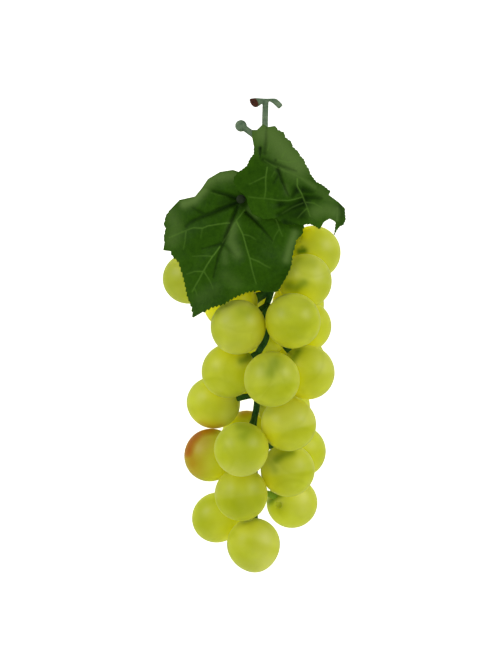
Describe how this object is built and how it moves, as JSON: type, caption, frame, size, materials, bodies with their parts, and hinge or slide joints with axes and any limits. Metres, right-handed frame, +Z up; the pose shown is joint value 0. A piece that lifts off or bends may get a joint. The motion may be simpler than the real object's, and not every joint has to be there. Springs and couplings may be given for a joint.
{
  "type": "bunch of grapes",
  "caption": "Artificial bunch of green grapes: soft translucent balls on a pegged stem, with toothed leaves, lying on its side for display.",
  "frame": {"origin": "bottom centre of the bounding box, on the surface that the bunch lies on", "axes": "+Y towards the stem's free end, +X to the right seen from above, +Z up"},
  "size_m": [0.0822, 0.2118, 0.077],
  "materials": {
    "grape_skin": "translucent soft plastic with a satin bloom",
    "stem_plastic": "matt moulded plastic, dark in the bunch and grey-green at the free end",
    "leaf_fabric": "printed and embossed satin leaf"
  },
  "bodies": {
    "root": {"grape_01": "grape_skin", "grape_02": "grape_skin", "grape_03": "grape_skin", "grape_04": "grape_skin", "grape_05": "grape_skin", "grape_06": "grape_skin", "grape_07": "grape_skin", "grape_08": "grape_skin", "grape_09": "grape_skin", "grape_10": "grape_skin", "grape_11": "grape_skin", "grape_12": "grape_skin", "grape_13": "grape_skin", "grape_14": "grape_skin", "grape_15": "grape_skin", "grape_16": "grape_skin", "grape_17": "grape_skin", "grape_18": "grape_skin", "grape_19": "grape_skin", "grape_20": "grape_skin", "grape_21": "grape_skin", "grape_22": "grape_skin", "grape_23": "grape_skin", "grape_24": "grape_skin", "grape_25": "grape_skin", "grape_26": "grape_skin", "grape_27": "grape_skin", "grape_28": "grape_skin", "grape_29": "grape_skin", "grape_30": "grape_skin", "grape_31": "grape_skin", "grape_32": "grape_skin", "grape_33": "grape_skin", "grape_34": "grape_skin", "leaf_front": "leaf_fabric", "leaf_top": "leaf_fabric", "stem": "stem_plastic"}
  },
  "joints": []
}
